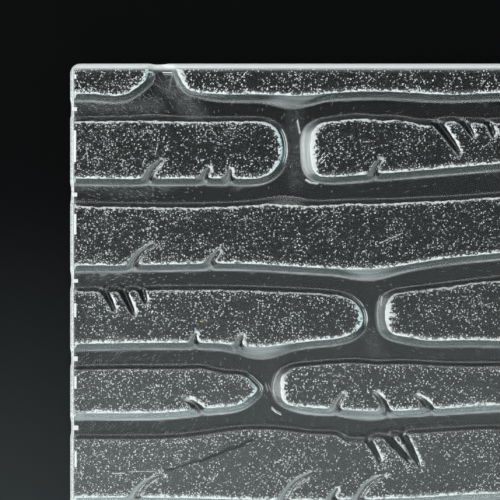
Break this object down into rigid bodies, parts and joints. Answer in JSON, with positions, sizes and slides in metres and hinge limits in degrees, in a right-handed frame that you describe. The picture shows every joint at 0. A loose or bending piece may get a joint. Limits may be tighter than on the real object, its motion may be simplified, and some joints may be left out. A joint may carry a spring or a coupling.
{
  "type": "cast glass panel",
  "caption": "Clear kiln-cast glass panel with a deep relief of staggered, grained stone-like pads parted by smooth channels, and softly rounded fire-polished edges.",
  "frame": {"origin": "middle of the flat underside", "axes": "+Z out of the relief side, +Y towards the panel's top edge as pictured, +X to the right across the courses"},
  "size_m": [0.305, 0.305, 0.012],
  "materials": {
    "glass_panel": "clear cast glass, fire-polished; pads grained by the mould"
  },
  "bodies": {
    "root": {"glass_panel": "glass_panel"}
  },
  "joints": []
}
